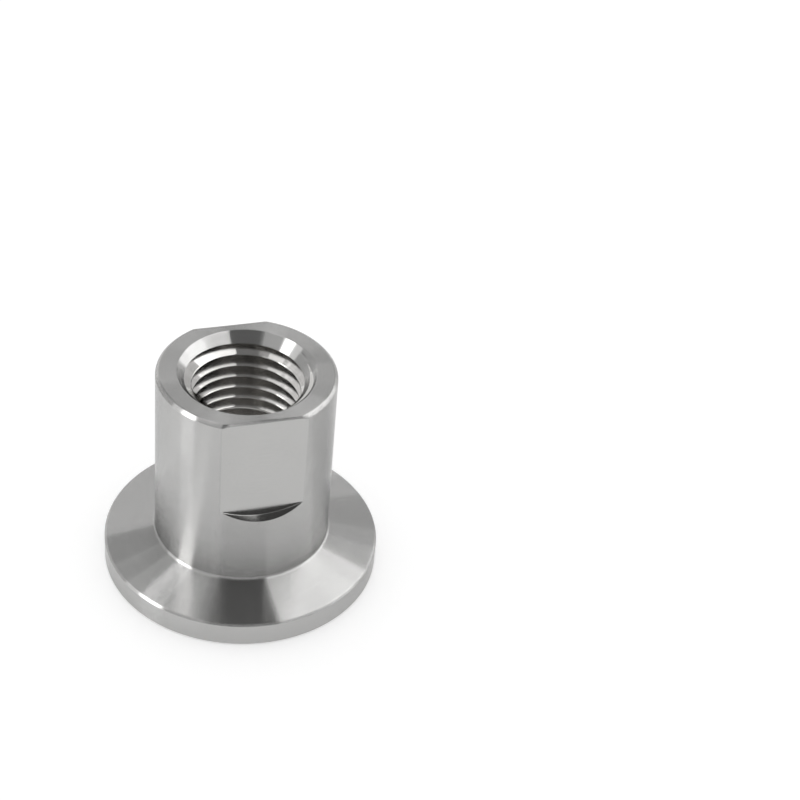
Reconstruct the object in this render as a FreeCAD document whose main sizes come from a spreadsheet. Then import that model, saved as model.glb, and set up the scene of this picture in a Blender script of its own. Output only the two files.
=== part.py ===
"""Small-flange vacuum adapter with a female taper pipe thread, turned from one bar.

Millimetres. +Z runs along the turning axis from the sealing face towards the threaded end, and the
origin is the centre of the sealing face. The two wrench flats face +Y and -Y.
"""

import FreeCAD
import Part
import Sketcher

import math
import os

OUTPUT_FOLDER = "parts"
SHEET_NAME = "sizes"
PIECE_NAME = "adapter_body"

# Alias, value and meaning of each driving size, in millimetres and degrees.
SIZES = [
    ("flange_diameter", 30.0, "outside of the flange rim"),
    ("rim_height", 2.9, "sealing face to the start of the back cone"),
    ("cone_angle", 15.0, "back cone where the clamp bears, up from the sealing face"),
    ("face_break", 0.25, "chamfer between the sealing face and the rim"),
    ("rim_break", 0.2, "chamfer between the rim and the back cone"),
    ("tube_diameter", 19.0, "outside of the tube"),
    ("overall_height", 25.0, "sealing face to the threaded end"),
    ("root_radius", 0.4, "fillet where the back cone meets the tube"),
    ("end_break", 0.35, "chamfer round the threaded end, turned before the flats are milled"),
    ("flats_across", 16.8, "one wrench flat to the other"),
    ("flats_length", 12.5, "threaded end down to the lowest point of the ledge below each flat"),
    ("cutter_diameter", 19.4, "end mill that cuts the flats"),
    ("flats_count", 2, "wrench flats, evenly spaced round the tube"),
    ("recess_diameter", 17.2, "seat of the centring ring in the sealing face"),
    ("recess_depth", 2.6, "sealing face to the floor of that seat"),
    ("recess_break", 0.15, "chamfer on the mouth of the seat"),
    ("recess_corner", 0.3, "tool radius between the seat's wall and its floor"),
    ("bore_diameter", 11.1, "through bore, the tap drill of the 1/4 inch taper pipe thread"),
    ("bore_break", 0.25, "chamfer where the bore opens in the floor of the seat"),
    ("mouth_diameter", 14.6, "countersink of the thread, at the end of the tube"),
    ("mouth_angle", 90.0, "whole angle of that countersink"),
]

# How far a milling cut runs past the outside of the work, and how closely an edge has to match its place.
CUTTER_OVERRUN = 1.0
MATCH = 1e-3

# The ends of a sketched line or arc, the middle of a circle, and the sketch's own origin.
START = 1
END = 2
CENTRE = 3
ORIGIN = (-1, START)


def make_sheet(doc):
    """The driving sizes, one row each: name, value and meaning."""
    sheet = doc.addObject("Spreadsheet::Sheet", SHEET_NAME)
    for row, (alias, value, meaning) in enumerate(SIZES, start=1):
        sheet.set(f"A{row}", alias)
        sheet.set(f"B{row}", str(value))
        sheet.setAlias(f"B{row}", alias)
        sheet.set(f"C{row}", meaning)
    doc.recompute()
    return sheet


def cell(alias):
    """The expression that reads one size from the sheet."""
    return f"{SHEET_NAME}.{alias}"


def origin_part(body, role):
    """One of the body's own origin planes or axes."""
    return next(part for part in body.Origin.OriginFeatures if part.Role == role)


def new_sketch(body, name, plane):
    """An empty sketch on one of the body's origin planes."""
    sketch = body.newObject("Sketcher::SketchObject", name)
    sketch.AttachmentSupport = [(origin_part(body, plane), "")]
    sketch.MapMode = "FlatFace"
    return sketch


def chain(sketch, points):
    """Straight lines from each point to the next, joined end to end. Returns their numbers."""
    corners = [FreeCAD.Vector(x, y, 0) for x, y in points]
    lines = [sketch.addGeometry(Part.LineSegment(a, b), False) for a, b in zip(corners, corners[1:])]
    for line, after in zip(lines, lines[1:]):
        join(sketch, line, after)
    return lines


def join(sketch, line, after):
    """Starts one line where another ends."""
    sketch.addConstraint(Sketcher.Constraint("Coincident", line, END, after, START))


def along(sketch, direction, lines):
    """Holds lines Horizontal or Vertical."""
    for line in lines:
        sketch.addConstraint(Sketcher.Constraint(direction, line))


def dimension(sketch, name, constraint, expression):
    """A named sketch dimension that follows the sheet."""
    index = sketch.addConstraint(constraint)
    sketch.renameConstraint(index, name)
    sketch.setExpression(f"Constraints.{name}", expression)


def distance_x(sketch, name, start, end, value, expression):
    """A horizontal dimension from one point to another, each a pair of line and end."""
    dimension(sketch, name, Sketcher.Constraint("DistanceX", *start, *end, value), expression)


def distance_y(sketch, name, start, end, value, expression):
    """A vertical dimension from one point to another, each a pair of line and end."""
    dimension(sketch, name, Sketcher.Constraint("DistanceY", *start, *end, value), expression)


def draw_blank(sketch, sheet):
    """Half of the section of the turned outside, beside the axis: rim, back cone, root radius and tube."""
    slope = math.radians(sheet.cone_angle)
    rim = sheet.flange_diameter / 2
    tube = sheet.tube_diameter / 2
    top = sheet.overall_height
    face_break = sheet.face_break
    rim_break = sheet.rim_break
    end_break = sheet.end_break
    root = sheet.root_radius
    root_x = tube + root
    root_y = sheet.rim_height + (rim - root_x) * math.tan(slope) + root / math.cos(slope)
    centre = FreeCAD.Vector(root_x, root_y, 0)
    cone_foot = (rim - rim_break, sheet.rim_height + rim_break * math.tan(slope))
    cone_head = (root_x - root * math.sin(slope), root_y - root * math.cos(slope))

    face, face_edge, rim_wall, rim_edge, cone = chain(sketch, [
        (0, 0),
        (rim - face_break, 0),
        (rim, face_break),
        (rim, sheet.rim_height - rim_break),
        cone_foot,
        cone_head,
    ])
    tube_wall, end_edge, end, axis = chain(sketch, [
        (tube, root_y),
        (tube, top - end_break),
        (tube - end_break, top),
        (0, top),
        (0, 0),
    ])
    circle = Part.Circle(centre, FreeCAD.Vector(0, 0, 1), root)
    radius = sketch.addGeometry(Part.ArcOfCircle(circle, math.pi, 1.5 * math.pi - slope), False)
    join(sketch, axis, face)
    sketch.addConstraint(Sketcher.Constraint("Tangent", radius, START, tube_wall, START))
    sketch.addConstraint(Sketcher.Constraint("Tangent", radius, END, cone, END))
    sketch.addConstraint(Sketcher.Constraint("Coincident", face, START, *ORIGIN))
    along(sketch, "Horizontal", [face, end])
    along(sketch, "Vertical", [rim_wall, tube_wall, axis])

    distance_x(sketch, "rim_radius", ORIGIN, (rim_wall, START), rim, f"{cell('flange_diameter')} / 2")
    distance_x(sketch, "face_break_across", (face_edge, START), (face_edge, END), face_break,
               cell("face_break"))
    distance_y(sketch, "face_break_up", (face_edge, START), (face_edge, END), face_break,
               cell("face_break"))
    distance_y(sketch, "rim_wall_top", ORIGIN, (rim_wall, END), sheet.rim_height - rim_break,
               f"{cell('rim_height')} - {cell('rim_break')}")
    distance_x(sketch, "rim_break_across", (rim_edge, END), (rim_edge, START), rim_break, cell("rim_break"))
    distance_y(sketch, "cone_foot_height", ORIGIN, (rim_edge, END), cone_foot[1],
               f"{cell('rim_height')} + {cell('rim_break')} * tan({cell('cone_angle')} * 1 deg)")
    dimension(sketch, "cone_slope", Sketcher.Constraint("Angle", cone, math.pi - slope),
              f"180 deg - {cell('cone_angle')} * 1 deg")
    dimension(sketch, "root_radius", Sketcher.Constraint("Radius", radius, root), cell("root_radius"))
    distance_x(sketch, "tube_radius", ORIGIN, (tube_wall, END), tube, f"{cell('tube_diameter')} / 2")
    distance_x(sketch, "end_break_across", (end_edge, END), (end_edge, START), end_break, cell("end_break"))
    distance_y(sketch, "end_break_up", (end_edge, START), (end_edge, END), end_break, cell("end_break"))
    distance_y(sketch, "overall_height", ORIGIN, (end, END), top, cell("overall_height"))


def turn_blank(body, sheet):
    """The bar turned to its outside, in one spin of the section about the axis."""
    sketch = new_sketch(body, "blank_section", "XZ_Plane")
    draw_blank(sketch, sheet)
    blank = body.newObject("PartDesign::Revolution", "turned_blank")
    blank.Profile = sketch
    blank.ReferenceAxis = (sketch, ["V_Axis"])
    blank.Angle = 360.0


def mill_flats(body, sheet):
    """The wrench flats: an end mill run down each one from the threaded end leaves a round ledge at its foot."""
    sketch = new_sketch(body, "flat_outline", "XZ_Plane")
    sketch.setExpression("AttachmentOffset.Base.z", f"-{cell('flats_across')} / 2")
    radius = sheet.cutter_diameter / 2
    middle = sheet.overall_height - sheet.flats_length + radius
    above = sheet.overall_height + radius + CUTTER_OVERRUN
    right, over, left = chain(sketch, [
        (radius, middle),
        (radius, above),
        (-radius, above),
        (-radius, middle),
    ])
    circle = Part.Circle(FreeCAD.Vector(0, middle, 0), FreeCAD.Vector(0, 0, 1), radius)
    foot = sketch.addGeometry(Part.ArcOfCircle(circle, math.pi, 2 * math.pi), False)
    join(sketch, left, foot)
    join(sketch, foot, right)
    along(sketch, "Vertical", [right, left])
    along(sketch, "Horizontal", [over])
    sketch.addConstraint(Sketcher.Constraint("PointOnObject", foot, CENTRE, -2))
    for side in (START, END):
        sketch.addConstraint(Sketcher.Constraint("Horizontal", foot, side, foot, CENTRE))
    dimension(sketch, "cutter_radius", Sketcher.Constraint("Radius", foot, radius),
              f"{cell('cutter_diameter')} / 2")
    distance_y(sketch, "cutter_stop", ORIGIN, (foot, CENTRE), middle,
               f"{cell('overall_height')} - {cell('flats_length')} + {cell('cutter_diameter')} / 2")
    distance_y(sketch, "cutter_start", ORIGIN, (over, END), above,
               f"{cell('overall_height')} + {cell('cutter_diameter')} / 2 + {CUTTER_OVERRUN}")
    flat = body.newObject("PartDesign::Pocket", "wrench_flat")
    flat.Profile = sketch
    flat.Type = "ThroughAll"
    body.Document.recompute()
    flats = body.newObject("PartDesign::PolarPattern", "wrench_flats")
    flats.Originals = [flat]
    flats.Axis = (origin_part(body, "Z_Axis"), [""])
    flats.Angle = 360.0
    flats.setExpression("Occurrences", cell("flats_count"))
    body.Tip = flats


def round_sketch(body, name, alias, height_alias=None):
    """A circle about the axis, on the sealing face or at the height that the sheet gives."""
    sketch = new_sketch(body, name, "XY_Plane")
    if height_alias:
        sketch.setExpression("AttachmentOffset.Base.z", cell(height_alias))
    circle = sketch.addGeometry(Part.Circle(FreeCAD.Vector(), FreeCAD.Vector(0, 0, 1), 1.0), False)
    sketch.addConstraint(Sketcher.Constraint("Coincident", circle, CENTRE, *ORIGIN))
    dimension(sketch, "diameter", Sketcher.Constraint("Diameter", circle, 2.0), cell(alias))
    return sketch


def bore_port(body):
    """The bore for the thread, right through from the end of the tube, with its countersink."""
    sketch = round_sketch(body, "port_centre", "bore_diameter", "overall_height")
    body.Document.recompute()
    port = body.newObject("PartDesign::Hole", "thread_port")
    port.Profile = sketch
    port.DepthType = "ThroughAll"
    port.setExpression("Diameter", cell("bore_diameter"))
    port.HoleCutType = "Countersink"
    port.setExpression("HoleCutDiameter", cell("mouth_diameter"))
    port.setExpression("HoleCutCountersinkAngle", cell("mouth_angle"))


def ring_edge(feature, radius, height):
    """The name of the feature's round edge of that radius about the axis, at that height."""
    for number, edge in enumerate(feature.Shape.Edges, start=1):
        curve = edge.Curve
        if not isinstance(curve, Part.Circle) or not edge.isClosed():
            continue
        centred = math.hypot(curve.Center.x, curve.Center.y) < MATCH
        if centred and abs(curve.Radius - radius) < MATCH and abs(curve.Center.z - height) < MATCH:
            return f"Edge{number}"
    raise ValueError(f"{feature.Name} has no round edge of radius {radius:.3f} at height {height:.3f}")


def dress_edge(body, kind, name, radius, height, alias):
    """A Fillet or a Chamfer on one round edge of the body as it is so far, as large as the sheet says."""
    body.Document.recompute()
    base = body.Tip
    feature = body.newObject(f"PartDesign::{kind}", name)
    feature.Base = (base, [ring_edge(base, radius, height)])
    feature.setExpression({"Fillet": "Radius", "Chamfer": "Size"}[kind], cell(alias))


def sink_recess(body, sheet):
    """The seat of the centring ring: a flat-floored counterbore in the sealing face, its edges dressed."""
    circle = round_sketch(body, "recess_circle", "recess_diameter")
    recess = body.newObject("PartDesign::Pocket", "ring_seat")
    recess.Profile = circle
    recess.Type = "Length"
    recess.Reversed = True
    recess.setExpression("Length", cell("recess_depth"))
    wall = sheet.recess_diameter / 2
    dress_edge(body, "Fillet", "seat_corner", wall, sheet.recess_depth, "recess_corner")
    dress_edge(body, "Chamfer", "seat_mouth", wall, 0, "recess_break")
    dress_edge(body, "Chamfer", "bore_mouth", sheet.bore_diameter / 2, sheet.recess_depth, "bore_break")


def cut(body, what, make_cut):
    """Makes a cut, and stops if it left the volume as it was, because it then points out of the work."""
    body.Document.recompute()
    before = body.Shape.Volume
    make_cut()
    body.Document.recompute()
    if not body.Shape.Volume < before - MATCH:
        raise ValueError(f"{what} removed nothing")


def make_adapter(doc, sheet):
    """The whole adapter, in the order of its making: turned, milled, bored from one end, then the other."""
    body = doc.addObject("PartDesign::Body", PIECE_NAME)
    body.Label = PIECE_NAME
    turn_blank(body, sheet)
    cut(body, "the wrench flats", lambda: mill_flats(body, sheet))
    cut(body, "the bore", lambda: bore_port(body))
    cut(body, "the seat of the centring ring", lambda: sink_recess(body, sheet))
    return body


def check_document(doc):
    """Stops if any object of the document failed, which a recompute doesn't report by itself."""
    for item in doc.Objects:
        if {"Invalid", "Error"} & set(item.State):
            raise ValueError(f"{item.Name} failed: {item.State}")


def write_step(body):
    """The piece as a STEP file that is named by its label."""
    shape = body.Shape
    if shape.isNull() or not shape.isValid() or len(shape.Solids) != 1:
        raise ValueError(f"{body.Label} isn't one valid solid")
    os.makedirs(OUTPUT_FOLDER, exist_ok=True)
    shape.exportStep(os.path.join(OUTPUT_FOLDER, body.Label + ".step"))
    box = shape.BoundBox
    extents = f"{box.XLength:.2f} x {box.YLength:.2f} x {box.ZLength:.2f} mm"
    print(f"{body.Label}: {extents}, {shape.Volume:.1f} mm3")


def main():
    """Builds the document, checks it and writes the piece."""
    doc = FreeCAD.newDocument("flange_adapter")
    sheet = make_sheet(doc)
    body = make_adapter(doc, sheet)
    check_document(doc)
    write_step(body)


main()
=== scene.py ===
"""Threaded flange adapter: a turned steel vacuum fitting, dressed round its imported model.

One closed skin stands for the solid body. It has the same outside and the same bore, and adds what a
plain solid leaves out: the taper pipe thread, the way the thread runs out into the countersink, the
rounded foot of each wrench flat and the small breaks on every edge.
"""

from __future__ import annotations

import logging
import math
from dataclasses import dataclass, field
from enum import Enum

import bmesh
import bpy
import numpy as np
from mathutils import Matrix, Vector


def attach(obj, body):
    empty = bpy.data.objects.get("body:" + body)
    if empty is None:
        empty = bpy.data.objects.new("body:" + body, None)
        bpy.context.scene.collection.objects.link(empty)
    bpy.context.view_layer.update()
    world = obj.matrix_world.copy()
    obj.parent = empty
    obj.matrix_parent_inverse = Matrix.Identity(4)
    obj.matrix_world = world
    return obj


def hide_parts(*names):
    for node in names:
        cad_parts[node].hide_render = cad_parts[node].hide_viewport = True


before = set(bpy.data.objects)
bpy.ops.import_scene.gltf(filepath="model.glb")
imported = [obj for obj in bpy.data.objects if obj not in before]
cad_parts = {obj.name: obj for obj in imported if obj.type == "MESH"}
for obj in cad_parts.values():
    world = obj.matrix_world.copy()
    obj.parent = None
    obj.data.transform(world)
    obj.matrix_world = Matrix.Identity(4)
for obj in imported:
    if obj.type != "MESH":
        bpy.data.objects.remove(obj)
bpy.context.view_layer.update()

log = logging.getLogger("adapter")

MILLIMETRE = 0.001
TURN = 2.0 * math.pi

# Width in degrees of one cell of a panel's mesh.
PANEL_CELL = 3.0

Node = bpy.types.ShaderNode
Socket = bpy.types.NodeSocket


class Finish(Enum):
    """How a surface of the adapter was cut, in the order of its material slots."""

    TURNED = 0
    FACED = 1
    MILLED = 2
    THREADED = 3


# The skin of the body

@dataclass
class Skin:
    """Rings of points round the axis, joined in order into one closed skin.

    Every ring has a point at each angle. Radii and heights are in millimetres.
    """

    angles: np.ndarray
    radii: list[np.ndarray] = field(default_factory=list)
    heights: list[np.ndarray] = field(default_factory=list)
    finishes: list[Finish] = field(default_factory=list)
    wear: list[float] = field(default_factory=list)

    def ring(self, radius: np.ndarray | float, height: np.ndarray | float, finish: Finish,
             wear: float = 0.0) -> None:
        """Adds a ring.

        Args:
            radius: Distance from the axis, one for all angles or one each.
            height: Height over the sealing face, one for all angles or one each.
            finish: How the band between this ring and the next was cut.
            wear: How far the ring lies on an edge, from 0 to 1.
        """
        shape = self.angles.shape
        self.radii.append(np.broadcast_to(np.asarray(radius, float), shape).copy())
        self.heights.append(np.broadcast_to(np.asarray(height, float), shape).copy())
        self.finishes.append(finish)
        self.wear.append(wear)

    def build(self, name: str, weld: float) -> bpy.types.Object:
        """Joins the rings into a mesh object and welds points that coincide.

        Args:
            name: Name of the object.
            weld: Distance in millimetres under which two points are one.

        Returns:
            The new object, in metres.
        """
        rows = len(self.radii)
        columns = len(self.angles)
        radius = np.stack(self.radii)
        height = np.stack(self.heights)
        points = np.stack([radius * np.cos(self.angles), radius * np.sin(self.angles), height], axis=2)
        index = np.arange(rows * columns).reshape(rows, columns)
        above = np.roll(index, -1, axis=0)
        faces = np.stack([index[:, :-1], index[:, 1:], above[:, 1:], above[:, :-1]], axis=2)
        mesh = bpy.data.meshes.new(name)
        mesh.from_pydata((points * MILLIMETRE).reshape(-1, 3).tolist(), [], faces.reshape(-1, 4).tolist())
        slots = np.repeat([finish.value for finish in self.finishes], columns - 1)
        mesh.polygons.foreach_set("material_index", slots.astype(np.int32))
        edges = mesh.attributes.new("edge", "FLOAT", "POINT")
        edges.data.foreach_set("value", np.repeat(self.wear, columns).astype(np.float32))
        work = bmesh.new()
        work.from_mesh(mesh)
        bmesh.ops.remove_doubles(work, verts=work.verts, dist=weld * MILLIMETRE)
        bmesh.ops.dissolve_degenerate(work, edges=work.edges, dist=weld * MILLIMETRE)
        bmesh.ops.recalc_face_normals(work, faces=work.faces)
        loose = [edge for edge in work.edges if not edge.is_manifold]
        log.info("%s: %d faces, %d open edges", name, len(work.faces), len(loose))
        work.to_mesh(mesh)
        work.free()
        piece = bpy.data.objects.new(name, mesh)
        bpy.context.scene.collection.objects.link(piece)
        return piece


@dataclass
class Corner:
    """A corner of a turned profile, where its straight runs meet.

    Radius and height are in millimetres. Soft is the length of each run that the rounding takes.
    """

    radius: float
    height: float
    soft: float = 0.05
    steps: int = 4


@dataclass
class PipeThread:
    """A right-hand taper pipe thread, cut in a drilled bore from its countersunk mouth down.

    Sizes are in millimetres, and heights are over the sealing face. The crests widen by entry_flare and
    by mouth_flare where the tap entered, each from its start and over its run. The middle of one crest
    passes the height far_crest at far_angle. Below full_depth the thread fades out over lead_turns.
    """

    mouth_height: float = 25.0
    pitch: float = 1.4111
    crest_radius: float = 5.73
    drill_radius: float = 5.55
    flank_slope: float = math.sqrt(3.0)
    crest_flat: float = 0.08
    root_flat: float = 0.05
    crest_break: float = 0.012
    break_slope: float = math.tan(math.radians(30.0))
    taper: float = 1.0 / 32.0
    full_depth: float = 12.6
    lead_turns: float = 2.6
    plain_turns: float = 0.3
    entry_flare: float = 0.1
    entry_start: float = 22.0
    entry_run: float = 1.6
    mouth_flare: float = 0.2
    mouth_start: float = 23.9
    mouth_run: float = 0.5
    far_crest: float = 22.80
    far_angle: float = math.radians(69.95)

    def foot(self) -> float:
        """Height a little below the tap's last mark, where the bore is plain again."""
        return self.mouth_height - self.full_depth - (self.lead_turns + self.plain_turns) * self.pitch

    def own_crest(self, height: np.ndarray) -> np.ndarray:
        """Radius of the tap's own crests at a height, which flare a little at the mouth."""
        entry = np.clip((height - self.entry_start) / self.entry_run, 0.0, 1.0) * self.entry_flare
        start = np.clip((height - self.mouth_start) / self.mouth_run, 0.0, 1.0)
        bell = start * start * (3.0 - 2.0 * start) * self.mouth_flare
        return self.crest_radius - (self.mouth_height - height) * self.taper + entry + bell

    def crest(self, height: np.ndarray) -> np.ndarray:
        """Radius of the crests at a height: the tap's own, or the drill's where that is wider."""
        return np.maximum(self.own_crest(height), self.drill_radius)

    def half_crest(self, height: np.ndarray) -> np.ndarray:
        """Half the width of the flat crest at a height, wider where the drill cuts it down."""
        short = np.maximum(self.drill_radius - self.own_crest(height), 0.0)
        return self.crest_flat / 2.0 + short / self.flank_slope

    def helix(self, angle: np.ndarray) -> np.ndarray:
        """Height of one crest's middle line at each angle."""
        return self.far_crest + self.pitch * (angle - self.far_angle) / TURN

    def radius(self, angle: np.ndarray, height: np.ndarray) -> np.ndarray:
        """Radius of the threaded wall.

        Args:
            angle: Angle round the axis, in radians.
            height: Height over the sealing face, in millimetres.

        Returns:
            The radius at each angle and height, in millimetres.
        """
        phase = (height - self.helix(angle)) / self.pitch
        away = np.abs(phase - np.round(phase)) * self.pitch
        run = away - self.half_crest(height)
        crest = self.crest(height)
        depth = (self.pitch / 2.0 - self.crest_flat / 2.0 - self.root_flat / 2.0) * self.flank_slope
        root = self.own_crest(height) + depth
        cut = np.maximum(crest, crest + run * self.flank_slope)
        cut = np.maximum(cut, crest + self.crest_break + run * self.break_slope)
        cut = np.minimum(cut, root)
        below = (self.mouth_height - self.full_depth) - height
        lead = root - np.maximum(below, 0.0) / (self.lead_turns * self.pitch) * (root - self.drill_radius)
        return np.maximum(np.minimum(cut, lead), self.drill_radius)

    def offsets(self, height: np.ndarray) -> list[np.ndarray]:
        """Heights over a crest's middle line at which one turn of the thread gets its rings.

        Args:
            height: Height of the crest's middle line, in millimetres.

        Returns:
            The offsets over one pitch, from one root to the next, each as an array like height.
        """
        half = self.half_crest(height)
        inner = half - self.crest_break / self.break_slope
        outer = half + self.crest_break * math.sqrt(3.0) / 2.0
        root = self.pitch / 2.0 - self.root_flat / 2.0 + half * 0.0
        support = 0.04
        side = [inner, outer, outer + support, (outer + root) / 2.0, root - support, root]
        return [-value for value in reversed(side)] + side


@dataclass
class TurnedAdapter:
    """The adapter's one body: clamp flange, tube with two wrench flats, threaded port and ring seat.

    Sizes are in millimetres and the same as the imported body's. Heights are over the sealing face.
    The rows are heights of rings: flat_rows lie on the flats above ledge_limit, which is just over the
    ledges' ends, and sink_rows run from the first to the last height of the countersink's lower part.
    """

    flange_radius: float = 15.0
    rim_height: float = 2.9
    cone_angle: float = math.radians(15.0)
    face_break: float = 0.25
    rim_break: float = 0.2
    tube_radius: float = 9.5
    height: float = 25.0
    root_radius: float = 0.4
    end_break: float = 0.35
    flat_distance: float = 8.4
    flat_start: float = 12.5
    cutter_radius: float = 9.7
    flat_foot: float = 0.06
    flat_break_depth: float = 0.15
    flat_break_height: float = 0.26
    recess_radius: float = 8.6
    recess_depth: float = 2.6
    recess_break: float = 0.15
    recess_corner: float = 0.3
    bore_radius: float = 5.55
    bore_break: float = 0.25
    mouth_radius: float = 7.3
    flat_rows: tuple[float, ...] = (13.68, 14.2, 16.0, 18.0, 20.0, 22.0, 24.0)
    ledge_limit: float = 13.67
    sink_rows: tuple[float, float] = (24.6, 23.25)
    sink_step: float = 0.025
    plain_sink: float = 24.45
    columns: int = 264
    sharp_angle: float = math.radians(29.0)
    weld: float = 0.0008
    thread: PipeThread = field(default_factory=PipeThread)

    def angles(self) -> np.ndarray:
        """Angles of the skin's columns, with one exactly at each side edge of the flats.

        Returns:
            The angles from 0 to a full turn, both included.
        """
        even = np.linspace(0.0, TURN, self.columns + 1)
        edge = math.asin(self.flat_distance / self.tube_radius)
        inner = math.asin(self.flat_distance / (self.tube_radius - self.end_break))
        kept = even.copy()
        for side in (edge, inner):
            for wanted in (side, math.pi - side, math.pi + side, TURN - side):
                kept[np.argmin(np.abs(kept - wanted))] = wanted
        return kept

    def run(self, skin: Skin, corners: list[Corner], finishes: list[Finish]) -> None:
        """Adds a turned profile to the skin, with its inner corners rounded.

        Args:
            skin: The skin that gets the rings.
            corners: The profile's corners. The first and last only give its ends.
            finishes: How each run between two corners was cut.
        """
        support = 0.06
        for number in range(1, len(corners) - 1):
            before, here, after = corners[number - 1:number + 2]
            point = np.array([here.radius, here.height])
            back = np.array([before.radius, before.height]) - point
            ahead = np.array([after.radius, after.height]) - point
            start = back / np.linalg.norm(back)
            end = ahead / np.linalg.norm(ahead)
            room = min(np.linalg.norm(back), np.linalg.norm(ahead)) * 0.45
            soft = min(here.soft, room)
            first = point + start * min(soft + support, np.linalg.norm(back) * 0.48)
            last = point + end * min(soft + support, np.linalg.norm(ahead) * 0.48)
            skin.ring(first[0], first[1], finishes[number - 1])
            for step in range(here.steps + 1):
                share = step / here.steps
                spot = point + start * soft * (1.0 - share) ** 2 + end * soft * share ** 2
                middle = 1.0 - abs(2.0 * share - 1.0)
                finish = finishes[number - 1] if share < 0.5 else finishes[number]
                skin.ring(spot[0], spot[1], finish, 0.35 + 0.65 * middle if here.soft < 0.2 else 0.0)
            skin.ring(last[0], last[1], finishes[number])

    def outside(self, skin: Skin) -> None:
        """Adds the sealing face, the rim, the clamping cone and the plain tube up to the flats.

        Args:
            skin: The skin that gets the rings.
        """
        slope = math.tan(self.cone_angle)
        cone_foot = self.rim_height + (self.flange_radius - self.tube_radius) * slope
        middle = (self.recess_radius + self.flange_radius) / 2.0
        turning = math.pi / 2.0 - self.cone_angle
        faced, turned = Finish.FACED, Finish.TURNED
        corners = [
            Corner(self.recess_radius, self.recess_break * 2.0),
            Corner(self.recess_radius, self.recess_break, 0.03),
            Corner(self.recess_radius + self.recess_break, 0.0, 0.03),
            Corner(middle, 0.0, 0.5, 2),
            Corner(self.flange_radius - self.face_break, 0.0, 0.05),
            Corner(self.flange_radius, self.face_break, 0.05),
            Corner(self.flange_radius, self.rim_height - self.rim_break, 0.07),
            Corner(self.flange_radius - self.rim_break, self.rim_height + self.rim_break * slope, 0.07),
            Corner(self.tube_radius, cone_foot, self.root_radius * math.tan(turning / 2.0), 10),
            Corner(self.tube_radius, self.flat_start - 1.2, 0.5, 2),
            Corner(self.tube_radius, self.flat_start - 0.3),
        ]
        cuts = [turned, faced, faced, faced, turned, turned, turned, turned, turned, turned]
        self.run(skin, corners, cuts)

    def plane(self, angles: np.ndarray, distance: float) -> np.ndarray:
        """Radius at each angle of two planes across the tube, no wider than the tube.

        Args:
            angles: Angles round the axis.
            distance: Distance of each plane from the axis.

        Returns:
            The radius at each angle.
        """
        sine = np.maximum(np.abs(np.sin(angles)), 1e-6)
        return np.minimum(distance / sine, self.tube_radius)

    def ledge(self, angles: np.ndarray, radius: np.ndarray) -> np.ndarray:
        """Height of the round ledge that the end mill leaves at the foot of each flat.

        Args:
            angles: Angles round the axis.
            radius: Distance from the axis at each angle.

        Returns:
            The height at each angle. Beside the flats it is the height of the ledge's ends.
        """
        half_width = math.sqrt(self.tube_radius ** 2 - self.flat_distance ** 2)
        aside = np.minimum(np.abs(radius * np.cos(angles)), half_width)
        return self.flat_start + self.cutter_radius - np.sqrt(self.cutter_radius ** 2 - aside ** 2)

    def flats(self, skin: Skin) -> None:
        """Adds the upper part of the tube: the ledges, the flats with rounded feet, and the end break.

        Args:
            skin: The skin that gets the rings.
        """
        turned = Finish.TURNED
        angles = skin.angles
        reach = self.tube_radius * np.abs(np.sin(angles))
        rim = self.ledge(angles, np.full(angles.shape, self.tube_radius))
        lip = 0.04
        for share, wear in ((3.0, 0.0), (1.0, 0.6), (0.3, 1.0)):
            skin.ring(self.tube_radius, rim - share * lip, turned, wear)
        for step, wear in enumerate((0.6, 0.0, 0.0, 0.0)):
            radius = self.plane(angles, self.tube_radius - lip * (0.3 + step) - step * step * 0.1)
            skin.ring(radius, self.ledge(angles, radius), turned, wear)
        for turning in np.radians(np.linspace(0.0, 90.0, 6)):
            distance = self.flat_distance + self.flat_foot * (1.0 - math.sin(turning))
            radius = self.plane(angles, distance)
            rise = np.where(reach > distance, self.flat_foot * (1.0 - math.cos(turning)), 0.0)
            skin.ring(radius, self.ledge(angles, radius) + rise, turned)
        flat = self.plane(angles, self.flat_distance)
        for level in self.flat_rows:
            skin.ring(flat, level, turned)
        chamfer = flat - (self.tube_radius - self.end_break)
        size = np.maximum(self.flat_break_depth, chamfer)
        fall_size = np.maximum(self.flat_break_height, chamfer)
        soft = 0.3
        fall = soft * math.sqrt(0.5)
        skin.ring(flat, self.height - fall_size * (1.0 + 2.0 * soft), turned)
        for share in np.linspace(0.0, 1.0, 4):
            drop = 1.0 + soft * (1.0 - share) ** 2 - fall * share ** 2
            skin.ring(flat - size * fall * share ** 2, self.height - fall_size * drop, turned, share)
        for share in np.linspace(0.0, 1.0, 4):
            back = 1.0 - fall * (1.0 - share) ** 2 + soft * share ** 2
            level = self.height - fall_size * fall * (1.0 - share) ** 2
            finish = turned if share < 0.5 else Finish.FACED
            skin.ring(flat - size * back, level, finish, 1.0 - share)
        inner = flat - size * (1.0 + 2.0 * soft)
        skin.ring(inner, self.height, Finish.FACED)
        skin.ring(np.minimum(inner, (flat + self.mouth_radius) / 2.0), self.height, Finish.FACED)
        skin.ring(self.mouth_radius + 0.12, self.height, Finish.FACED)

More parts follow.
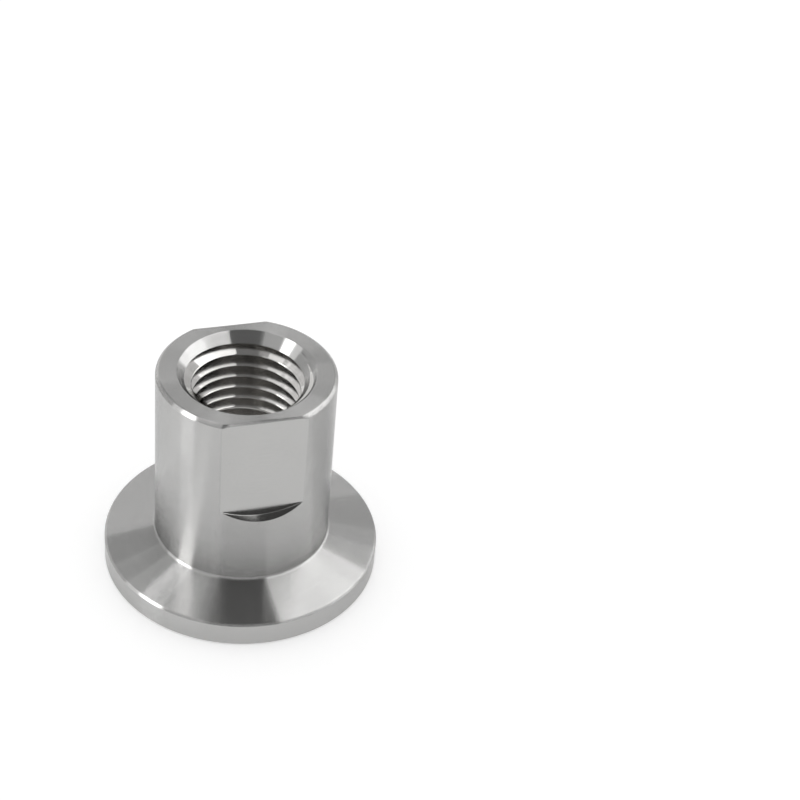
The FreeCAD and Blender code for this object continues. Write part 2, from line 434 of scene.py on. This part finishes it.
    def mouth(self, skin: Skin) -> None:
        """Adds the countersink, and the rings where the thread's ridges run out into it.

        Args:
            skin: The skin that gets the rings.
        """
        soft = 0.05
        for share in np.linspace(0.0, 1.0, 4):
            radius = self.mouth_radius + soft * (1.0 - share) ** 2 - soft * 0.71 * share ** 2
            level = self.height - soft * 0.71 * share ** 2
            skin.ring(radius, level, Finish.FACED, 1.0 - abs(2.0 * share - 1.0))
        for drop in (0.1, 0.2, 0.32):
            skin.ring(self.mouth_radius - drop, self.height - drop, Finish.FACED)
        top, bottom = self.sink_rows
        for level in np.arange(top, bottom - 1e-6, -self.sink_step):
            sink = self.mouth_radius - (self.height - level)
            cut = self.thread.radius(skin.angles, np.full(skin.angles.shape, level))
            radius = np.maximum(cut, sink)
            finish = Finish.FACED if level > self.plain_sink else Finish.THREADED
            skin.ring(radius, level, finish)

    def threads(self, skin: Skin) -> None:
        """Adds the threaded bore in rings that follow the helix, down to where the tap stopped.

        Args:
            skin: The skin that gets the rings.
        """
        thread = self.thread
        top = self.sink_rows[1]
        bottom = thread.foot()
        middle = thread.helix(skin.angles)
        first = math.ceil((top - middle.min()) / thread.pitch) + 1
        last = math.floor((bottom - middle.max()) / thread.pitch) - 1
        # A ring nearer to an end than this is moved onto it, so that no face there is a sliver.
        closest = 0.015
        for turn in range(first, last - 1, -1):
            crest = middle + turn * thread.pitch
            for offset in reversed(thread.offsets(crest)):
                level = crest + offset
                if level.min() > top or level.max() < bottom:
                    continue
                level = np.where(level > top - closest, top, level)
                level = np.where(level < bottom + closest, bottom, level)
                skin.ring(thread.radius(skin.angles, level), level, Finish.THREADED)

    def inside(self, skin: Skin) -> None:
        """Adds the plain bore, its edge, and the seat of the centring ring up to the sealing face.

        Args:
            skin: The skin that gets the rings.
        """
        bottom = self.thread.foot()
        bored, faced = Finish.THREADED, Finish.FACED
        skin.ring(self.bore_radius, bottom, bored)
        corners = [
            Corner(self.bore_radius, bottom),
            Corner(self.bore_radius, self.recess_depth + self.bore_break, 0.04),
            Corner(self.bore_radius + self.bore_break, self.recess_depth, 0.04),
            Corner((self.bore_radius + self.recess_radius) / 2.0, self.recess_depth, 0.3, 2),
            Corner(self.recess_radius, self.recess_depth, self.recess_corner, 8),
            Corner(self.recess_radius, self.recess_break * 2.0, 0.02, 2),
            Corner(self.recess_radius, self.recess_break),
        ]
        self.run(skin, corners, [bored, faced, faced, faced, faced, faced])

    def mark_flats(self, mesh: bpy.types.Mesh) -> None:
        """Gives the milled finish to the faces that lie on the wrench flats and their ledges.

        Args:
            mesh: The body's mesh.
        """
        lowest = self.flat_start - 0.45
        highest = self.height - 0.04
        for face in mesh.polygons:
            centre = face.center / MILLIMETRE
            if centre.z < lowest or centre.z > highest:
                continue
            on_flat = abs(face.normal.y) > 0.995 and abs(abs(centre.y) - self.flat_distance) < 0.02
            on_ledge = centre.z < self.ledge_limit and abs(face.normal.z) > 0.03
            if on_flat or (on_ledge and math.hypot(centre.x, centre.y) > self.flat_distance):
                face.material_index = Finish.MILLED.value

    def mark_sink(self, mesh: bpy.types.Mesh) -> None:
        """Gives the faced finish to the faces of the countersink that lie between the thread's run-outs.

        Args:
            mesh: The body's mesh.
        """
        lowest = self.sink_rows[1]
        highest = self.plain_sink + 2.0 * self.sink_step
        for face in mesh.polygons:
            centre = face.center / MILLIMETRE
            if not lowest < centre.z < highest:
                continue
            sink = self.mouth_radius - (self.height - centre.z)
            if abs(math.hypot(centre.x, centre.y) - sink) < 0.006:
                face.material_index = Finish.FACED.value

    def build(self) -> bpy.types.Object:
        """Builds the whole skin.

        Returns:
            The body as one closed mesh object.
        """
        skin = Skin(self.angles())
        self.outside(skin)
        self.flats(skin)
        self.mouth(skin)
        self.threads(skin)
        self.inside(skin)
        piece = skin.build("turned_adapter", self.weld)
        self.mark_flats(piece.data)
        self.mark_sink(piece.data)
        piece.data.shade_smooth()
        piece.data.set_sharp_from_angle(angle=self.sharp_angle)
        return piece


# Shader helpers

@dataclass
class NodeTree:
    """A thin wrapper that adds and links the nodes of one shader tree."""

    tree: bpy.types.NodeTree

    def add(self, kind: str, **values: object) -> Node:
        """Adds a node.

        Args:
            kind: The node's type name.
            values: Attributes to set on it.

        Returns:
            The new node.
        """
        node = self.tree.nodes.new(kind)
        for name, value in values.items():
            setattr(node, name, value)
        return node

    def link(self, source: Socket, target: Socket) -> None:
        """Links an output to an input."""
        self.tree.links.new(source, target)

    def feed(self, target: Socket, value: Socket | float | tuple) -> None:
        """Links a socket to an input, or sets the input to a plain value."""
        if isinstance(value, bpy.types.NodeSocket):
            self.link(value, target)
        else:
            target.default_value = value

    def maths(self, operation: str, first: Socket | float, second: Socket | float = 0.0,
              clamp: bool = False) -> Socket:
        """Adds a math node.

        Args:
            operation: The node's operation.
            first: First value or socket.
            second: Second value or socket.
            clamp: Whether the result stays between 0 and 1.

        Returns:
            The result.
        """
        node = self.add("ShaderNodeMath", operation=operation, use_clamp=clamp)
        self.feed(node.inputs[0], first)
        self.feed(node.inputs[1], second)
        return node.outputs[0]

    def noise(self, vector: Socket, scale: float, detail: float = 2.0, roughness: float = 0.5) -> Socket:
        """Adds a noise texture and returns its value."""
        node = self.add("ShaderNodeTexNoise")
        self.link(vector, node.inputs["Vector"])
        node.inputs["Scale"].default_value = scale
        node.inputs["Detail"].default_value = detail
        node.inputs["Roughness"].default_value = roughness
        return node.outputs["Fac"]

    def vector(self, operation: str, first: Socket, second: Socket | None = None) -> Socket:
        """Adds a vector math node and returns its vector."""
        node = self.add("ShaderNodeVectorMath", operation=operation)
        self.link(first, node.inputs[0])
        if second is not None:
            self.link(second, node.inputs[1])
        return node.outputs["Vector"]

    def stretch(self, vector: Socket, amount: Socket | float) -> Socket:
        """Scales a vector by an amount and returns it."""
        node = self.add("ShaderNodeVectorMath", operation="SCALE")
        self.link(vector, node.inputs[0])
        self.feed(node.inputs["Scale"], amount)
        return node.outputs["Vector"]

    def split(self, vector: Socket) -> tuple[Socket, Socket, Socket]:
        """Splits a vector into its three parts."""
        node = self.add("ShaderNodeSeparateXYZ")
        self.link(vector, node.inputs[0])
        return tuple(node.outputs)

    def join(self, first: Socket | float, second: Socket | float, third: Socket | float) -> Socket:
        """Joins three parts into a vector."""
        node = self.add("ShaderNodeCombineXYZ")
        for target, value in zip(node.inputs, (first, second, third)):
            self.feed(target, value)
        return node.outputs[0]

    def spread(self, value: Socket, low: float, high: float, start: float, end: float) -> Socket:
        """Maps a value from one range to another, and keeps it inside the new one."""
        node = self.add("ShaderNodeMapRange")
        self.link(value, node.inputs["Value"])
        node.inputs["From Min"].default_value = low
        node.inputs["From Max"].default_value = high
        node.inputs["To Min"].default_value = start
        node.inputs["To Max"].default_value = end
        return node.outputs["Result"]

    def blend(self, amount: Socket | float, first: Socket | tuple, second: Socket | tuple) -> Socket:
        """Mixes two colours by an amount and returns the result."""
        node = self.add("ShaderNodeMix", data_type="RGBA")
        self.feed(node.inputs["Factor"], amount)
        self.feed(node.inputs[6], first)
        self.feed(node.inputs[7], second)
        return node.outputs[2]

    def shown(self) -> Socket:
        """Adds a mask that is 1 for rays from the camera and for mirrored or transmitted ones."""
        rays = self.add("ShaderNodeLightPath")
        seen = self.maths("MAXIMUM", rays.outputs["Is Camera Ray"], rays.outputs["Is Glossy Ray"])
        return self.maths("MAXIMUM", seen, rays.outputs["Is Transmission Ray"])

    def show_through(self, share: Socket, first: Node, second: Node) -> None:
        """Mixes two shaders by a share, from the first to the second, and makes the result the surface."""
        chosen = self.add("ShaderNodeMixShader")
        self.link(share, chosen.inputs[0])
        self.link(first.outputs[0], chosen.inputs[1])
        self.link(second.outputs[0], chosen.inputs[2])
        leave = self.add("ShaderNodeOutputMaterial")
        self.link(chosen.outputs[0], leave.inputs["Surface"])


def new_material(name: str) -> tuple[bpy.types.Material, NodeTree]:
    """Makes a material whose shader tree is empty.

    Args:
        name: Name of the material.

    Returns:
        The material and its shader tree.
    """
    material = bpy.data.materials.new(name)
    material.use_nodes = True
    material.node_tree.nodes.clear()
    return material, NodeTree(material.node_tree)


def scaled(colour: tuple[float, float, float], factor: float) -> tuple[float, ...]:
    """Makes a colour lighter or darker by a factor, and gives it full cover."""
    return tuple(min(value * factor, 1.0) for value in colour) + (1.0,)


def new_group(name: str, inputs: dict[str, float], outputs: dict[str, str]) -> tuple[NodeTree, Node, Node]:
    """Makes an empty shader node group with named sockets.

    Args:
        name: Name of the group.
        inputs: Its number inputs and their usual values.
        outputs: Its outputs and whether each is a Float or a Vector.

    Returns:
        The group's tree, its input node and its output node.
    """
    tree = bpy.data.node_groups.new(name, "ShaderNodeTree")
    for label, value in inputs.items():
        socket = tree.interface.new_socket(label, in_out="INPUT", socket_type="NodeSocketFloat")
        socket.default_value = value
    for label, kind in outputs.items():
        tree.interface.new_socket(label, in_out="OUTPUT", socket_type=f"NodeSocket{kind}")
    nodes = NodeTree(tree)
    return nodes, nodes.add("NodeGroupInput"), nodes.add("NodeGroupOutput")


def lathe_marks() -> bpy.types.NodeTree:
    """Builds the group for the marks of a lathe: fine rings round the axis and faint lines across them.

    The rings tilt the surface to and fro along the profile, which spreads a reflection across them and
    keeps it crisp along them. Fineness and Coarse count marks per metre, and the tilts are slopes.

    Returns:
        The node group. Normal is the marked surface's, Rings and Drift are masks from 0 to 1.
    """
    nodes, entry, leave = new_group(
        "lathe marks",
        {"Fineness": 30000.0, "Coarse": 7000.0, "Ring Tilt": 0.3, "Coarse Tilt": 0.05,
         "Chatter": 14.0, "Chatter Tilt": 0.02},
        {"Normal": "Vector", "Rings": "Float", "Drift": "Float"})
    place = nodes.add("ShaderNodeTexCoord").outputs["Object"]
    across, along, up = nodes.split(place)
    squares = nodes.maths("ADD", nodes.maths("MULTIPLY", across, across),
                          nodes.maths("MULTIPLY", along, along))
    radius = nodes.maths("MAXIMUM", nodes.maths("SQRT", squares), 0.0001)
    profile = nodes.join(radius, up, nodes.maths("MULTIPLY", across, 0.002))
    grit = nodes.add("ShaderNodeTexWhiteNoise", noise_dimensions="3D")
    nodes.link(nodes.stretch(place, entry.outputs["Fineness"]), grit.inputs["Vector"])
    red, green, blue = nodes.split(grit.outputs["Color"])
    fine = nodes.maths("DIVIDE", nodes.maths("ADD", nodes.maths("ADD", red, green), blue), 3.0)
    coarse = nodes.noise(nodes.stretch(profile, entry.outputs["Coarse"]), 1.0, 1.0)
    unit = nodes.join(nodes.maths("DIVIDE", across, radius), nodes.maths("DIVIDE", along, radius),
                      nodes.maths("MULTIPLY", up, 6.0))
    lines = nodes.noise(nodes.stretch(unit, entry.outputs["Chatter"]), 1.0, 3.0, 0.6)
    drift = nodes.noise(place, 180.0, 2.0, 0.5)
    surface = nodes.add("ShaderNodeNewGeometry").outputs["Normal"]
    round_way = nodes.join(nodes.maths("MULTIPLY", nodes.maths("DIVIDE", along, radius), -1.0),
                           nodes.maths("DIVIDE", across, radius), 0.0)
    profile_way = nodes.vector("CROSS_PRODUCT", surface, round_way)
    ring_tilt, coarse_tilt, line_tilt = (
        nodes.maths("MULTIPLY", nodes.maths("SUBTRACT", value, 0.5), entry.outputs[label])
        for value, label in ((fine, "Ring Tilt"), (coarse, "Coarse Tilt"), (lines, "Chatter Tilt")))
    both_tilts = nodes.maths("ADD", ring_tilt, coarse_tilt)
    tilted = nodes.vector("ADD", surface, nodes.stretch(profile_way, both_tilts))
    tilted = nodes.vector("ADD", tilted, nodes.stretch(round_way, line_tilt))
    nodes.link(nodes.vector("NORMALIZE", tilted), leave.inputs["Normal"])
    nodes.link(coarse, leave.inputs["Rings"])
    nodes.link(drift, leave.inputs["Drift"])
    return nodes.tree


def edge_wear() -> bpy.types.NodeTree:
    """Builds the group for polished edges, broken up so that no edge is evenly bright.

    Returns:
        The node group. Mask is 1 on a worn edge and 0 away from it.
    """
    nodes, entry, leave = new_group("edge wear", {"Amount": 1.0}, {"Mask": "Float"})
    edge = nodes.add("ShaderNodeAttribute", attribute_name="edge").outputs["Fac"]
    place = nodes.add("ShaderNodeTexCoord").outputs["Object"]
    broken = nodes.spread(nodes.noise(place, 700.0, 2.0, 0.6), 0.3, 0.65, 0.35, 1.0)
    worn = nodes.maths("MULTIPLY", edge, broken)
    mask = nodes.maths("MULTIPLY", worn, entry.outputs["Amount"], clamp=True)
    nodes.link(mask, leave.inputs["Mask"])
    return nodes.tree


@dataclass(frozen=True)
class Steel:
    """A cut steel finish: its tone, how it spreads reflections, and how deep its marks are."""

    name: str
    colour: tuple[float, float, float] = (0.459, 0.457, 0.451)
    edge_tint: float = 0.82
    roughness: float = 0.14
    grain: float = 1.0
    fineness: float = 300000.0
    coarse: float = 9000.0
    ring_tilt: float = 1.4
    coarse_tilt: float = 0.012
    chatter: float = 12.0
    chatter_tilt: float = 0.02
    wear: float = 1.0
    tone_spread: tuple[float, float] = (0.96, 1.04)
    worn_tone: float = 1.06
    roughness_spread: tuple[float, float] = (0.93, 1.07)

    def make(self, marks: bpy.types.NodeTree, wear: bpy.types.NodeTree) -> bpy.types.Material:
        """Builds the material.

        Args:
            marks: The node group for lathe marks.
            wear: The node group for edge wear.

        Returns:
            The material.
        """
        material, nodes = new_material(self.name)
        cut = nodes.add("ShaderNodeGroup", node_tree=marks)
        values = {
            "Fineness": self.fineness,
            "Coarse": self.coarse,
            "Ring Tilt": self.ring_tilt,
            "Coarse Tilt": self.coarse_tilt,
            "Chatter": self.chatter,
            "Chatter Tilt": self.chatter_tilt,
        }
        for label, value in values.items():
            cut.inputs[label].default_value = value
        worn = nodes.add("ShaderNodeGroup", node_tree=wear)
        worn.inputs["Amount"].default_value = self.wear
        shader = nodes.add("ShaderNodeBsdfPrincipled")
        shader.inputs["Metallic"].default_value = 1.0
        shader.inputs["Specular Tint"].default_value = scaled((self.edge_tint,) * 3, 1.0)
        shader.inputs["Anisotropic"].default_value = self.grain
        shader.inputs["Anisotropic Rotation"].default_value = 0.25
        tangent = nodes.add("ShaderNodeTangent", direction_type="RADIAL", axis="Z")
        nodes.link(tangent.outputs[0], shader.inputs["Tangent"])
        dark, light = (scaled(self.colour, factor) for factor in self.tone_spread)
        tone = nodes.maths("ADD", nodes.maths("MULTIPLY", cut.outputs["Drift"], 0.5),
                           nodes.maths("MULTIPLY", cut.outputs["Rings"], 0.5))
        base = nodes.blend(nodes.spread(tone, 0.3, 0.7, 0.0, 1.0), dark, light)
        base = nodes.blend(worn.outputs["Mask"], base, scaled(self.colour, self.worn_tone))
        nodes.link(base, shader.inputs["Base Color"])
        smoothest, roughest = (self.roughness * factor for factor in self.roughness_spread)
        rough = nodes.spread(cut.outputs["Drift"], 0.3, 0.7, smoothest, roughest)
        nodes.link(rough, shader.inputs["Roughness"])
        nodes.link(cut.outputs["Normal"], shader.inputs["Normal"])
        leave = nodes.add("ShaderNodeOutputMaterial")
        nodes.link(shader.outputs[0], leave.inputs["Surface"])
        return material


FINISHES = {
    Finish.TURNED: Steel("turned steel"),
    Finish.FACED: Steel("faced steel", ring_tilt=0.8),
    Finish.MILLED: Steel("milled steel", (0.451, 0.449, 0.442), grain=0.4, ring_tilt=0.12),
    # The threads and bore get a lighter steel colour than the outside. This is painted light that
    # brightens their reflections in the shaded bore; roughness and tilts are the real tapped finish.
    Finish.THREADED: Steel("threaded steel with painted light", (0.66, 0.65, 0.635), roughness=0.1, ring_tilt=0.16,
                           coarse_tilt=0.03),
}


# Studio

@dataclass
class Viewpoint:
    """The photograph's view: where the camera stands, and where the body's origin falls in the frame."""

    azimuth: float = math.radians(-20.05)
    elevation: float = math.radians(37.928)
    roll: float = math.radians(5.782)
    distance: float = 211.081
    lens: float = 84.934
    sensor: float = 36.0
    frame_size: float = 800.0
    origin_column: float = 240.597
    origin_row: float = 548.764

    def axes(self) -> tuple[Vector, Vector, Vector]:
        """Right, up and back directions of the camera."""
        level = math.cos(self.elevation)
        back = Vector((
            math.sin(self.azimuth) * level,
            -math.cos(self.azimuth) * level,
            math.sin(self.elevation),
        ))
        right = Vector((math.cos(self.azimuth), math.sin(self.azimuth), 0.0))
        up = back.cross(right)
        turned = right * math.cos(self.roll) + up * math.sin(self.roll)
        raised = up * math.cos(self.roll) - right * math.sin(self.roll)
        return turned, raised, back

    def build(self) -> bpy.types.Object:
        """Makes the camera and hands it to the scene.

        Returns:
            The camera object.
        """
        right, up, back = self.axes()
        pixels = self.lens / self.sensor * self.frame_size
        middle = self.frame_size / 2.0
        seen = Vector((
            (self.origin_column - middle) / pixels * self.distance,
            -(self.origin_row - middle) / pixels * self.distance,
            -self.distance,
        ))
        place = -(right * seen.x + up * seen.y + back * seen.z)
        data = bpy.data.cameras.new("camera")
        data.lens = self.lens
        data.sensor_width = self.sensor
        data.clip_start = 0.01
        data.clip_end = 20.0
        camera = bpy.data.objects.new("camera", data)
        turn = Matrix((right, up, back)).transposed().to_4x4()
        camera.matrix_world = Matrix.Translation(place * MILLIMETRE) @ turn
        bpy.context.scene.collection.objects.link(camera)
        bpy.context.scene.camera = camera
        return camera


@dataclass(frozen=True)
class Panel:
    """A board or a soft lamp beside the camera's view, which only the steel's reflections show.

    Its outline is given by the surfaces that mirror it to the photograph's camera, so that its edges
    show as straight streaks on turned steel: surfaces that face from left to right of the camera, and
    that lean back from low to high, in degrees. Slant moves the upper end sideways and the lower end
    the other way. Soft ends are as wide as side_fade and end_fade, in degrees.
    """

    name: str
    left: float
    right: float
    low: float
    high: float
    tone: float
    side_fade: float = 4.0
    end_fade: float = 8.0
    slant: float = 0.0

    def place(self, facing: float, lean: float, view: Viewpoint) -> Vector:
        """Finds the direction that a surface mirrors to the camera.

        Args:
            facing: The way the surface faces, in degrees to the right of the camera.
            lean: How far the surface leans back, in degrees.
            view: The photograph's view.

        Returns:
            The direction, as a unit vector.
        """
        turn = view.azimuth + math.radians(facing)
        rise = math.radians(lean)
        level = math.cos(rise)
        normal = Vector((math.sin(turn) * level, -math.cos(turn) * level, math.sin(rise)))
        to_camera = view.axes()[2]
        return normal * (2.0 * normal.dot(to_camera)) - to_camera

    def build(self, view: Viewpoint, distance: float) -> bpy.types.Object:
        """Makes the panel on a sphere round the object.

        Args:
            view: The photograph's view.
            distance: Radius of the sphere, in metres.

        Returns:
            The panel object.
        """
        across = max(4, int((self.right - self.left) / PANEL_CELL))
        rise = max(4, int((self.high - self.low) / PANEL_CELL))
        points, faces, shares = [], [], []
        for row in range(rise + 1):
            for column in range(across + 1):
                side, height = column / across, row / rise
                facing = self.left + side * (self.right - self.left) + self.slant * (height - 0.5)
                lean = self.low + height * (self.high - self.low)
                points.append(self.place(facing, lean, view) * distance)
                shares.append((side, height))
        for row in range(rise):
            for column in range(across):
                first = row * (across + 1) + column
                faces.append((first, first + 1, first + across + 2, first + across + 1))
        mesh = bpy.data.meshes.new(self.name)
        mesh.from_pydata(points, [], faces)
        sheet = mesh.uv_layers.new(name="share")
        for loop in mesh.loops:
            sheet.data[loop.index].uv = shares[loop.vertex_index]
        panel = bpy.data.objects.new(self.name, mesh)
        bpy.context.scene.collection.objects.link(panel)
        panel.visible_camera = False
        panel.visible_diffuse = False
        panel.visible_shadow = False
        panel.data.materials.append(self.material())
        return panel

    def fade(self, nodes: NodeTree, share: Socket, width: float, span: float) -> Socket:
        """Adds the fade along one direction of the panel: 0 at both ends and 1 between.

        Args:
            nodes: The panel's shader tree.
            share: How far along the panel a point lies, from 0 to 1.
            width: Width of each soft end, in degrees.
            span: Length of the panel in that direction, in degrees.

        Returns:
            The fade.
        """
        ends = nodes.maths("SUBTRACT", 0.5, nodes.maths("ABSOLUTE", nodes.maths("SUBTRACT", share, 0.5)))
        ramp = nodes.add("ShaderNodeMapRange", interpolation_type="SMOOTHSTEP")
        nodes.link(ends, ramp.inputs["Value"])
        ramp.inputs["From Max"].default_value = width / span
        return ramp.outputs["Result"]

    def material(self) -> bpy.types.Material:
        """Builds the panel's glow, which fades out at its ends."""
        material, nodes = new_material(self.name)
        share = nodes.add("ShaderNodeUVMap", uv_map="share").outputs[0]
        side, height, _ = nodes.split(share)
        width = self.right - self.left
        mask = self.fade(nodes, height, self.end_fade, self.high - self.low)
        if width < 360.0:
            mask = nodes.maths("MULTIPLY", mask, self.fade(nodes, side, self.side_fade, width))
        glow = nodes.add("ShaderNodeEmission")
        glow.inputs["Strength"].default_value = self.tone
        clear = nodes.add("ShaderNodeBsdfTransparent")
        nodes.show_through(mask, clear, glow)
        material.cycles.emission_sampling = "NONE"
        return material


@dataclass(frozen=True)
class PaintedShadeAndLightPatch(Panel):
    """A sheet just over the floor that only reflections show, given by the part of the tube that mirrors
    it to the camera. Where it is darker than the floor it is painted shade, and where it is lighter it is
    painted light.

    Its outline runs over surfaces that face from left to right of the camera, in degrees, and over
    heights of the tube from low to high, in millimetres. Its soft ends are in the same units.
    """

    tube_radius: float = 9.5
    lift: float = 0.2

    def place(self, facing: float, lean: float, view: Viewpoint) -> Vector:
        """Finds the place on the floor that the tube mirrors to the camera.

        Args:
            facing: The way the tube's surface faces, in degrees to the right of the camera.
            lean: Height on the tube, in millimetres.
            view: The photograph's view.

        Returns:
            The place, in metres.
        """
        away = super().place(facing, 0.0, view)
        turn = view.azimuth + math.radians(facing)
        start = Vector((math.sin(turn), -math.cos(turn), 0.0)) * self.tube_radius
        run = (lean - self.lift) / -away.z
        return Vector((start.x + away.x * run, start.y + away.y * run, self.lift)) * MILLIMETRE


# Name, left, right, low, high and tone of each panel, then its fades and slant. Later ones lie in front.
PANELS = (
    Panel("back wall", -180.0, 180.0, 73.0, 96.0, 0.72, 1.0, 6.0),
    Panel("left shoulder", -74.0, -57.5, 58.0, 88.0, 0.33, 1.5, 6.0),
    Panel("left sector", -58.5, -41.0, 58.0, 88.0, 0.44, 1.5, 6.0),
    Panel("left strip", -38.0, -33.0, 58.0, 88.0, 0.22, 1.0, 6.0),
    Panel("left streak", -33.5, -20.0, 60.0, 82.0, 1.3, 2.0, 5.0),
    Panel("far left", -150.0, -72.5, 58.0, 82.0, 0.82, 1.5, 6.0),
    Panel("left line", -74.6, -73.0, 58.0, 82.0, 1.5, 0.5, 5.0),
    Panel("right shoulder", 61.0, 118.0, 48.0, 82.0, 0.57, 1.5, 6.0),
    Panel("right shade", 64.0, 81.0, 66.5, 82.0, 0.22, 1.5, 4.0),
    Panel("front board", -68.0, 66.0, 21.0, 55.0, 0.43, 6.0, 6.0),
    Panel("middle board", -30.0, -6.0, 38.0, 56.0, 0.74, 3.0, 5.0),
    Panel("left middle board", -78.0, -44.0, 38.0, 57.0, 0.62, 3.0, 4.0),
    Panel("gap board", -12.0, 26.0, 28.0, 87.0, 0.20, 4.0, 6.0),
    Panel("gap low board", -12.0, 40.0, 27.0, 45.0, 0.16, 4.0, 3.0),
    Panel("left streak board", -16.5, -5.0, 56.0, 84.0, 0.38, 1.5, 5.0, 3.0),
    Panel("left box shoulder", -50.0, -38.0, 20.0, 55.0, 1.2, 2.0, 5.0),
    Panel("left thread box", -50.0, -33.0, 52.0, 61.0, 1.4, 2.0, 4.0),
    Panel("left low box", -42.0, -27.5, 12.0, 54.0, 5.0, 4.0, 5.0),
    Panel("right box", 15.7, 66.0, 43.0, 79.0, 2.25, 1.5, 2.0, -8.0),
    Panel("right dip", 54.5, 60.5, 64.0, 79.0, 1.75, 2.0, 2.0),
    Panel("right box side", 38.0, 88.0, 45.0, 59.0, 4.4, 10.0, 6.0),
    Panel("right box waist", 16.0, 93.0, 53.5, 66.0, 1.05, 1.5, 3.0, -2.9),
    Panel("right low board", 56.5, 86.0, 12.0, 44.0, 0.03, 4.0, 6.0),
    Panel("left low board", -76.0, -58.0, 14.0, 42.0, 0.28, 4.0, 6.0),
    Panel("low back glow", 134.0, 222.0, 67.0, 91.0, 1.12, 6.0, 4.0),
)

# Painted shade and light in the tube's reflection: the right patch is painted shade standing in for a
# second adapter and its shadow beside the body, and the left patch is painted light that brightens the
# tube's left side.
FLOOR_PATCHES = (
    PaintedShadeAndLightPatch("right painted shade patch", 49.0, 81.0, 7.0, 28.0, 0.60, 6.0, 8.0),
    PaintedShadeAndLightPatch("left painted light patch", -70.0, -6.0, 4.0, 28.0, 1.16, 6.0, 6.0),
)


@dataclass
class Studio:
    """A pale floor, a white surround, and the soft lamps and boards that the steel mirrors.

    The surround is white to the camera and lights the object with the share given here. The panels
    stand on spheres round the object, from the farthest one inwards by one gap each, in metres.
    """

    view: Viewpoint
    floor_size: float = 6.0
    floor_tone: float = 0.8
    floor_glow: float = 0.385
    surround: float = 0.85
    farthest: float = 1.4
    gap: float = 0.02

    def floor(self) -> bpy.types.Object:
        """Makes the floor, which shows white where nothing shades it.

        Returns:
            The floor object.
        """
        half = self.floor_size / 2.0
        corners = [(-half, -half, 0.0), (half, -half, 0.0), (half, half, 0.0), (-half, half, 0.0)]
        mesh = bpy.data.meshes.new("floor")
        mesh.from_pydata(corners, [], [(0, 1, 2, 3)])
        floor = bpy.data.objects.new("floor", mesh)
        bpy.context.scene.collection.objects.link(floor)
        material, nodes = new_material("pale floor")
        matt = nodes.add("ShaderNodeBsdfDiffuse")
        matt.inputs["Color"].default_value = scaled((self.floor_tone,) * 3, 1.0)
        glow = nodes.add("ShaderNodeEmission")
        nodes.link(nodes.maths("MULTIPLY", nodes.shown(), self.floor_glow), glow.inputs["Strength"])
        both = nodes.add("ShaderNodeAddShader")
        nodes.link(matt.outputs[0], both.inputs[0])
        nodes.link(glow.outputs[0], both.inputs[1])
        clear = nodes.add("ShaderNodeBsdfTransparent")
        below = nodes.add("ShaderNodeNewGeometry").outputs["Backfacing"]
        nodes.show_through(below, both, clear)
        floor.data.materials.append(material)
        return floor

    def world(self) -> None:
        """Makes the surround: white to the camera and in reflections, a little less as light."""
        world = bpy.data.worlds.new("surround")
        bpy.context.scene.world = world
        world.use_nodes = True
        world.node_tree.nodes.clear()
        nodes = NodeTree(world.node_tree)
        extra = nodes.maths("MULTIPLY", nodes.shown(), 1.0 - self.surround)
        strength = nodes.maths("ADD", self.surround, extra)
        back = nodes.add("ShaderNodeBackground")
        back.inputs["Color"].default_value = (1.0, 1.0, 1.0, 1.0)
        nodes.link(strength, back.inputs["Strength"])
        leave = nodes.add("ShaderNodeOutputWorld")
        nodes.link(back.outputs[0], leave.inputs["Surface"])

    def build(self) -> None:
        """Makes the whole studio."""
        self.floor()
        self.world()
        for number, panel in enumerate(PANELS):
            panel.build(self.view, self.farthest - self.gap * number)
        for patch in FLOOR_PATCHES:
            patch.build(self.view, 1.0)
        log.info("studio: floor, %d panels and %d floor patches", len(PANELS), len(FLOOR_PATCHES))


def main() -> None:
    """Builds the adapter and its studio in order."""
    logging.basicConfig(level=logging.INFO, format="%(name)s: %(message)s")
    bpy.context.scene.view_settings.view_transform = "Standard"
    view = Viewpoint()
    view.build()
    adapter = TurnedAdapter().build()
    marks = lathe_marks()
    wear = edge_wear()
    for finish in Finish:
        adapter.data.materials.append(FINISHES[finish].make(marks, wear))
    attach(adapter, "root")
    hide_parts("adapter_body")
    log.info("turned_adapter rides on root")
    Studio(view).build()


if __name__ == "__main__":
    main()
